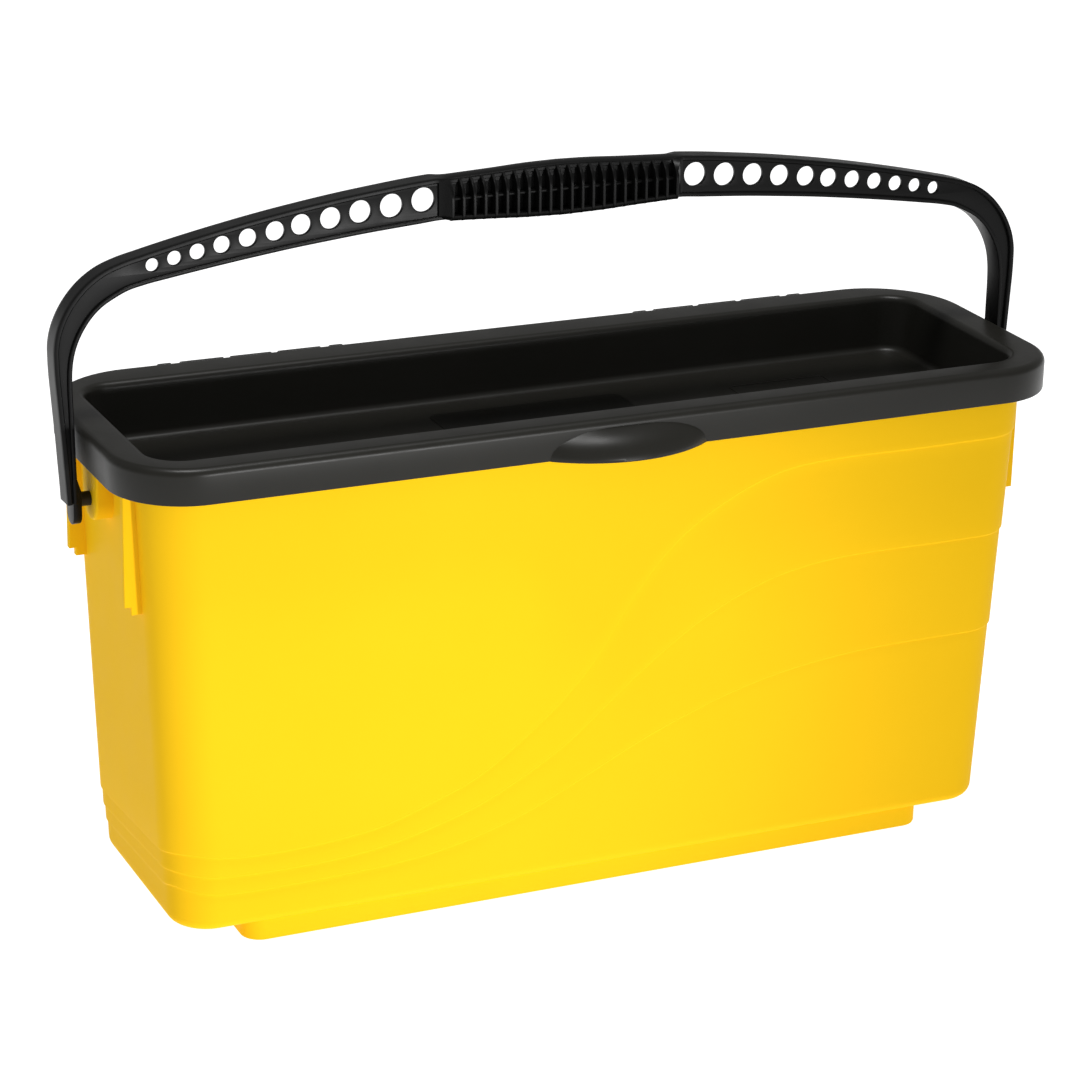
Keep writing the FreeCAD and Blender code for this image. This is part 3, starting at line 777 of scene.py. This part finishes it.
# ---------------------------------------------------------------------------
# handle
# ---------------------------------------------------------------------------
OUTER = ((0, 166.65), (19.99, 166.2), (39.96, 165.1), (59.94, 164.2), (75.98, 163.45),
         (92.06, 162.2), (110.14, 160.29), (133.14, 157.59), (155.16, 154.49), (175.14, 151.34),
         (205.1, 145.84), (232.07, 140.24), (250.11, 136.11), (262.35, 133.09), (272.63, 129.31),
         (281.57, 123.72), (288.43, 117.32), (293.83, 110.32), (297.92, 102.85), (300.54, 95.69),
         (301.9, 88.34), (302.05, 80.3), (301.8, 71.3), (301.15, 61.3), (300.35, 49.3),
         (299.45, 36.3), (298.55, 20.3), (297.85, 8.3), (297.45, -0.7))
INNER = ((0, 136.55), (25, 137.15), (44.98, 138.2), (59.99, 138.85), (75, 139.4),
         (87.97, 138.4), (99.98, 137.52), (120.97, 135.87), (139.97, 134.03), (161.96, 131.77),
         (179.97, 129.58), (202.95, 126.54), (219.95, 124.07), (234.94, 121.77), (250, 119.28),
         (259.1, 117.08), (267.09, 113.48), (273.91, 109.48), (279.61, 104.3), (284.37, 98.01),
         (288.03, 91.23), (290.68, 83.45), (291.95, 75.38), (292.3, 67.31), (292.15, 53.29),
         (291.95, 41.29), (291.8, 26.29), (291.6, 13.79), (291.4, -0.71))
HOLES = ((85, 151.7, 13.95), (104.1, 150, 13.6), (122.7, 148.3, 12.95),
         (140.4, 146.2, 12.35), (157.8, 144.2, 11.75), (173.1, 141.9, 11.05),
         (189.1, 139.6, 10.35), (204.2, 137.2, 9.75), (218.4, 134.6, 9),
         (231.7, 132.3, 8.15), (244.5, 129.7, 7.45))
LEAN = math.radians(2.0)


def whole(pts):
    """Half outline from the middle to the leg, mirrored to run from left leg to right leg."""
    d = smooth_curve([(float(a), float(b)) for a, b in pts], 1.6)
    return [(-x, y) for x, y in reversed(d[1:])] + d


def stand(p):
    """Handle coordinates (x, depth, distance from the pivot) to the upright, leaning handle."""
    x, w, d = p
    return (x, PIVOT_Y + w * math.cos(LEAN) + d * math.sin(LEAN),
            PIVOT_Z + d * math.cos(LEAN) - w * math.sin(LEAN))


def flat_part(mesh, loops, w0, w1, bevel, res=3):
    """Flat piece of the handle between depths w0 and w1."""
    me = prism(loops, w1 - w0, bevel, res)
    mesh.mesh_data(me, lambda p: stand((p[0], (w0 + w1) / 2 - p[2], p[1])))
    bpy.data.meshes.remove(me)


def grip_loop(x, half, r, top, bot, crown=13.0, n=10, m=36):
    """Outline of the grip across its length: domed on top, rounded below."""
    out = []
    for a0, c in ((180, -half + r), (270, half - r)):
        for q in range(n + 1):
            a = math.radians(a0 + 90 * q / n)
            out.append((x, c + r * math.cos(a), bot + r + r * math.sin(a)))
    span = math.asin(min(1.0, half / crown))
    for q in range(m + 1):
        a = span - 2 * span * q / m
        out.append((x, crown * math.sin(a), top - crown + crown * math.cos(a)))
    return out


def build_handle():
    mesh = Mesh()
    hd = 7.3
    out, inn = whole(OUTER), whole(INNER)
    # offset_curve's left side is up for a curve that runs left to right over the bow
    out_in = offset_curve(out, -2.9)
    inn_out = offset_curve(inn, 2.4)
    # outer flange: full depth beside the grip, narrowing into a ridge along the grip's top
    loops = []
    for (x, d), (xi, di) in zip(out, out_in):
        k = min(1.0, max(0.0, (abs(x) - 67.0) / 11.0))
        k = k * k * (3 - 2 * k)
        h = 6.2 + (hd - 6.2) * k
        row = []
        for w, t in ((-h + 0.7, 0.0), (-h + 0.2, 0.07), (-h, 0.24), (-h, 0.8), (-h + 0.5, 1.0),
                     (h - 0.5, 1.0), (h, 0.8), (h, 0.24), (h - 0.2, 0.07), (h - 0.7, 0.0),
                     (h * 0.6, 0.0), (h * 0.3, 0.0), (0.0, 0.0), (-h * 0.3, 0.0),
                     (-h * 0.6, 0.0)):
            dome = (1.0 - k) * w * w / 26.0
            row.append(stand((x + (xi - x) * t, w, d + (di - d) * t - dome)))
        loops.append(row)
    mesh.tube(loops)
    flat_part(mesh, [list(inn_out) + list(reversed(inn))], -hd, hd, 0.7)
    web_o, web_i = offset_curve(out, -1.2), offset_curve(inn, 1.2)
    holes = []
    for x, d, dia in HOLES:
        for s in (-1, 1):
            holes.append([(s * x + dia / 2 * math.cos(2 * math.pi * q / 48),
                           d + dia / 2 * math.sin(2 * math.pi * q / 48)) for q in range(48)])
    flat_part(mesh, [web_o + list(reversed(web_i))] + holes, -5.6, -3.0, 0.35)
    o_pts = [(float(a), float(b)) for a, b in OUTER]
    i_pts = [(float(a), float(b)) for a, b in INNER]
    # grip fins
    pitch = 6.68
    end = 10.5 * pitch
    for i in range(22):
        x = 0.35 + (i - 10.5) * pitch
        top, bot = lerp_pts(o_pts, abs(x)) - 0.4, lerp_pts(i_pts, abs(x))
        loops = []
        for dx, cut in ((-0.85, 0.3), (-0.55, 0.0), (0.55, 0.0), (0.85, 0.3)):
            loops.append([stand(p) for p in grip_loop(x + dx, 13.0 - cut, 3.2 - cut,
                                                      top + 0.15 - cut, bot + cut, 13.05)])
        mesh.tube(loops)
    # lip along the bottom of the fins and the rib half way up
    loops = []
    for q in range(49):
        x = -end + 2 * end * q / 48
        b = lerp_pts(i_pts, abs(x))
        f = 12.5
        row = []
        for w, d in ((-f + 2.6, 0.05), (-f + 1.2, 0.45), (-f + 0.3, 1.4), (-f, 2.6), (-f + 0.5, 3.2),
                     (f - 0.5, 3.2), (f, 2.6), (f - 0.3, 1.4), (f - 1.2, 0.45), (f - 2.6, 0.05)):
            row.append(stand((x, w, b + d)))
        loops.append(row)
    mesh.tube(loops)
    rb = Mesh()
    rbox(rb, -end, end, -9.6, 9.6, 150.7, 152.0, 0.35, 2)
    mesh.add([stand(p) for p in rb.v], rb.f)
    # cheeks that blend the last fins into the front of the bow
    for s in (-1, 1):
        loops = []
        for dx, half in ((-0.6, 12.8), (0.0, 12.8), (0.8, 12.2), (1.8, 11.0), (3.0, 9.4),
                         (4.4, 7.9), (6.0, 7.2)):
            x = s * (end + dx)
            top, bot = lerp_pts(o_pts, abs(x)) + 0.1, lerp_pts(i_pts, abs(x)) + 0.3
            loops.append([stand((p[0], min(p[1], 0.8), p[2]))
                          for p in grip_loop(x, half, min(3.2, half * 0.4), top, bot,
                                             13.2 + 1.2 * dx)])
        mesh.tube(loops)
    # tongues that hold the pins
    for s in (-1, 1):
        prof = []
        for q in range(29):
            a = math.radians(180 + 180 * q / 28)
            prof.append((6.6 * math.cos(a), -13.7 + 6.6 + 6.6 * math.sin(a)))
        prof += [(6.9, 6.0), (7.2, 13.8), (-7.2, 13.8), (-6.9, 6.0)]
        me = prism([prof], 4.9, 0.5, 2)

        def bend(p, s=s):
            w, d, t = p
            x = 291.65 + t
            if d > 6.5 and t < 0:
                x = max(x, min(291.7, 289.2 + (d - 6.5) * 0.35))
            return stand((s * x, w, d))
        mesh.mesh_data(me, bend)
        bpy.data.meshes.remove(me)
    return to_object("handle_bow", mesh.v, mesh.f, HANDLE_BLACK, "handle",
                     ("handle",), 32)


handle = build_handle()

# ---------------------------------------------------------------------------
# carried-over pieces
# ---------------------------------------------------------------------------
for name, mat in (("pivot_pin_left", PIN_BLACK), ("pivot_pin_right", PIN_BLACK),
                  ("hinge_bracket_left", LID_BLACK), ("hinge_bracket_right", LID_BLACK),
                  ("hinge_pin_left", STEEL), ("hinge_pin_right", STEEL),
                  ("hinge_screws_left", STEEL), ("hinge_screws_right", STEEL),
                  ("lid_seal", RUBBER), ("sieve", SIEVE_GREY)):
    ob = nodes[name]
    ob.data.materials.clear()
    ob.data.materials.append(mat)

# ---------------------------------------------------------------------------
# floor and light
# ---------------------------------------------------------------------------
fm, nt, bsdf = node_mat("studio_floor")
tc = nt.nodes.new("ShaderNodeTexCoord")
nz = noise(nt, tc.outputs["Object"], 3.0)
rp = ramp(nt, nz.outputs["Fac"], [(0.3, (0.34, 0.34, 0.34, 1)), (0.7, (0.36, 0.36, 0.36, 1))])
nt.links.new(rp.outputs["Color"], bsdf.inputs["Base Color"])
bsdf.inputs["Roughness"].default_value = 0.8
bsdf.inputs["Specular IOR Level"].default_value = 0.0
bsdf.inputs["Emission Color"].default_value = (1.0, 1.0, 1.0, 1.0)
bsdf.inputs["Emission Strength"].default_value = 1.0
me = bpy.data.meshes.new("floor")
S = 30.0
me.from_pydata([(-S, -S, 0), (S, -S, 0), (S, S, 0), (-S, S, 0)], [], [(0, 1, 2, 3)])
floor = bpy.data.objects.new("floor", me)
bpy.context.scene.collection.objects.link(floor)
me.materials.append(fm)

world = bpy.data.worlds.new("studio")
bpy.context.scene.world = world
world.use_nodes = True
bg = world.node_tree.nodes["Background"]
bg.inputs["Color"].default_value = (1.0, 1.0, 1.0, 1)
bg.inputs["Strength"].default_value = 0.28


def area(name, loc, target, sx, sy, power, color=(1, 1, 1)):
    li = bpy.data.lights.new(name, "AREA")
    li.shape = "RECTANGLE"
    li.size, li.size_y = sx, sy
    li.energy = power
    li.color = color
    ob = bpy.data.objects.new(name, li)
    bpy.context.scene.collection.objects.link(ob)
    ob.location = loc
    d = Vector(target) - Vector(loc)
    ob.rotation_euler = d.to_track_quat("-Z", "Y").to_euler()
    return ob


def spot(name, loc, target, half, size, power):
    """Soft-edged lamp: half is the half angle of its cone in degrees, size the lamp's radius."""
    li = bpy.data.lights.new(name, "SPOT")
    li.spot_size = math.radians(2 * half)
    li.spot_blend = 1.0
    li.shadow_soft_size = size
    li.energy = power
    ob = bpy.data.objects.new(name, li)
    bpy.context.scene.collection.objects.link(ob)
    ob.location = loc
    ob.rotation_euler = (Vector(target) - Vector(loc)).to_track_quat("-Z", "Y").to_euler()
    return ob


spot("key", (0.70, -2.75, 0.30), (-0.16, -0.08, 0.14), 8.8, 0.12, 182.0)
area("high", (-0.1, -0.5, 3.4), (0, 0, 0.25), 1.4, 0.6, 75.0)
